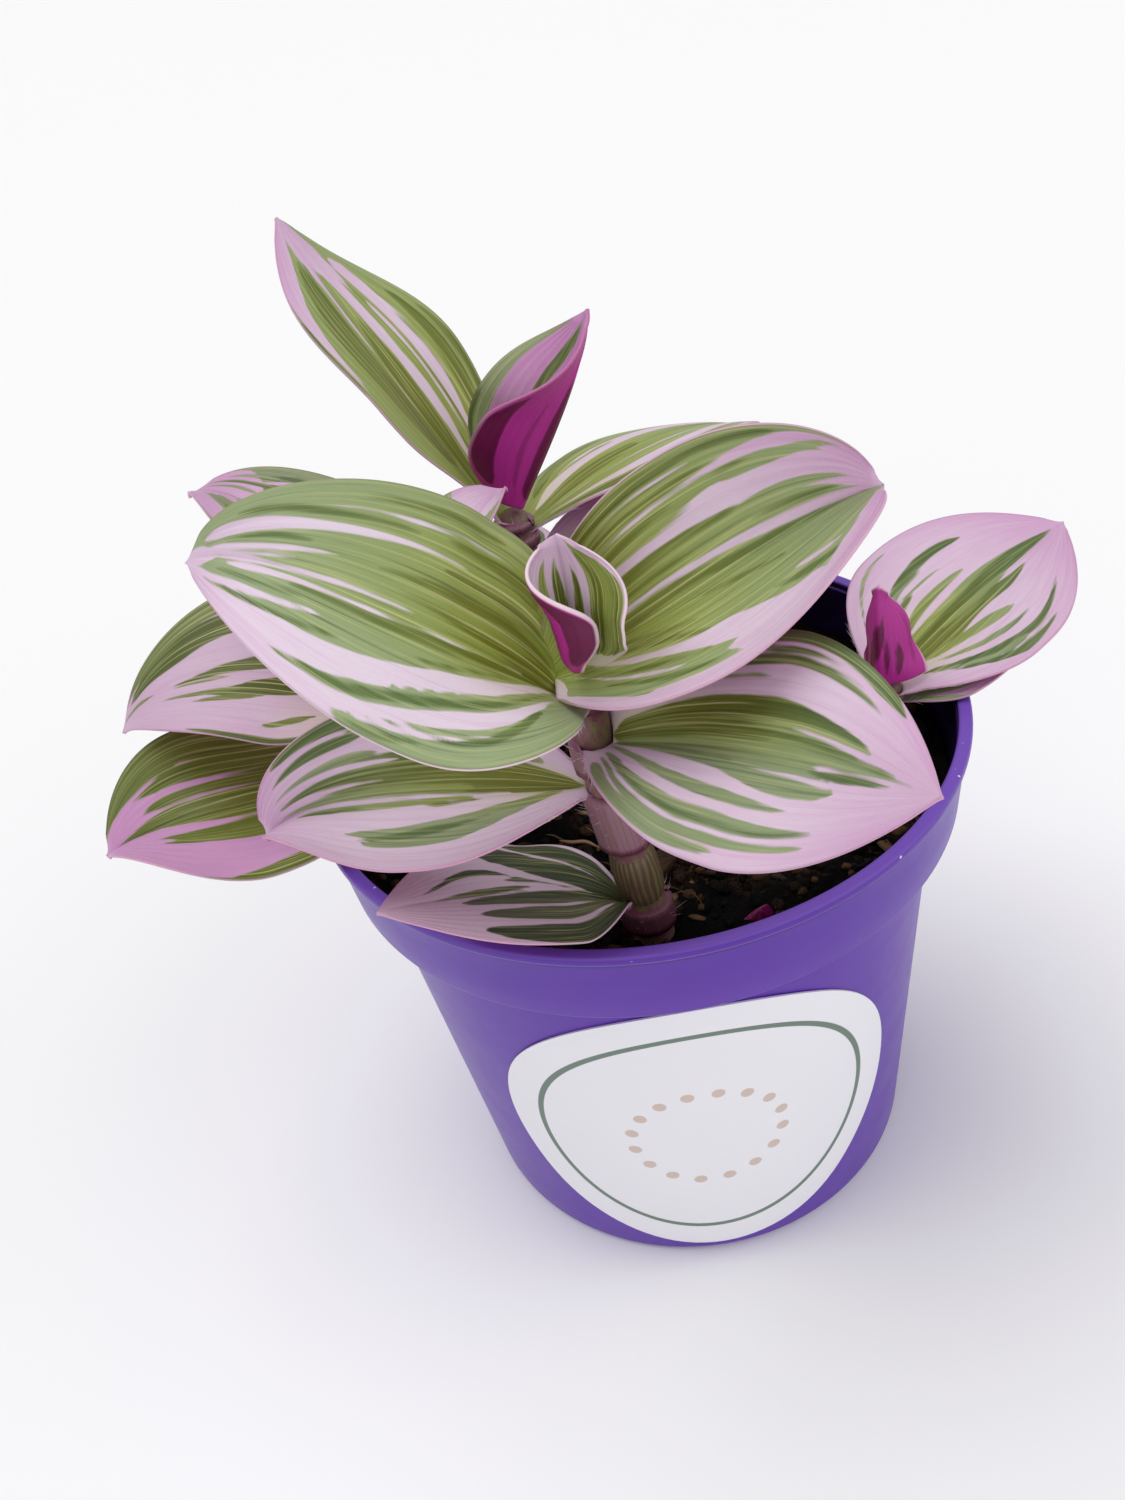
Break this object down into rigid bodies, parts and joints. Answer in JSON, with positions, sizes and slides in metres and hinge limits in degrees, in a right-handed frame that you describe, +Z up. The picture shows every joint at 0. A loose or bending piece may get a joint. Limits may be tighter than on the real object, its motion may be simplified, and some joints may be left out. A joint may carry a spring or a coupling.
{
  "type": "potted tradescantia",
  "caption": "A young striped pink and green tradescantia in a small purple plastic nursery pot, with a plain round paper label on its front",
  "frame": {"origin": "Centre of the underside of the pot's base", "axes": "+Z up from the base to the leaves; -Y is the front, where the label is; +X is to the right as seen from the front"},
  "size_m": [0.1363, 0.1254, 0.1414],
  "materials": {
    "pot": "smooth vivid purple plastic with a soft shine",
    "label": "smooth coated white paper",
    "soil": "moist dark potting soil with bits of bark, rough and dull",
    "stem": "juicy mauve-brown stem, slightly glossy",
    "leaf": "fleshy leaf striped sage green and lilac-pink above, magenta below, with a soft sheen",
    "sprout": "dark magenta leaf tip, soft sheen"
  },
  "bodies": {
    "root": {"pot": "pot", "label": "label", "soil": "soil", "front_stem": "stem", "left_stem": "stem", "back_stem": "stem", "right_stem": "stem", "front_leaf_1": "leaf", "front_leaf_2": "leaf", "front_leaf_3": "leaf", "front_leaf_4": "leaf", "front_leaf_5": "leaf", "front_leaf_6": "leaf", "left_leaf_1": "leaf", "left_leaf_2": "leaf", "left_leaf_3": "leaf", "left_leaf_4": "leaf", "left_leaf_5": "leaf", "back_leaf_1": "leaf", "back_leaf_2": "leaf", "back_leaf_3": "leaf", "back_leaf_4": "leaf", "back_leaf_5": "leaf", "right_leaf_1": "leaf", "right_leaf_2": "leaf", "right_leaf_3": "leaf", "right_leaf_4": "leaf", "sprout": "sprout"}
  },
  "joints": []
}
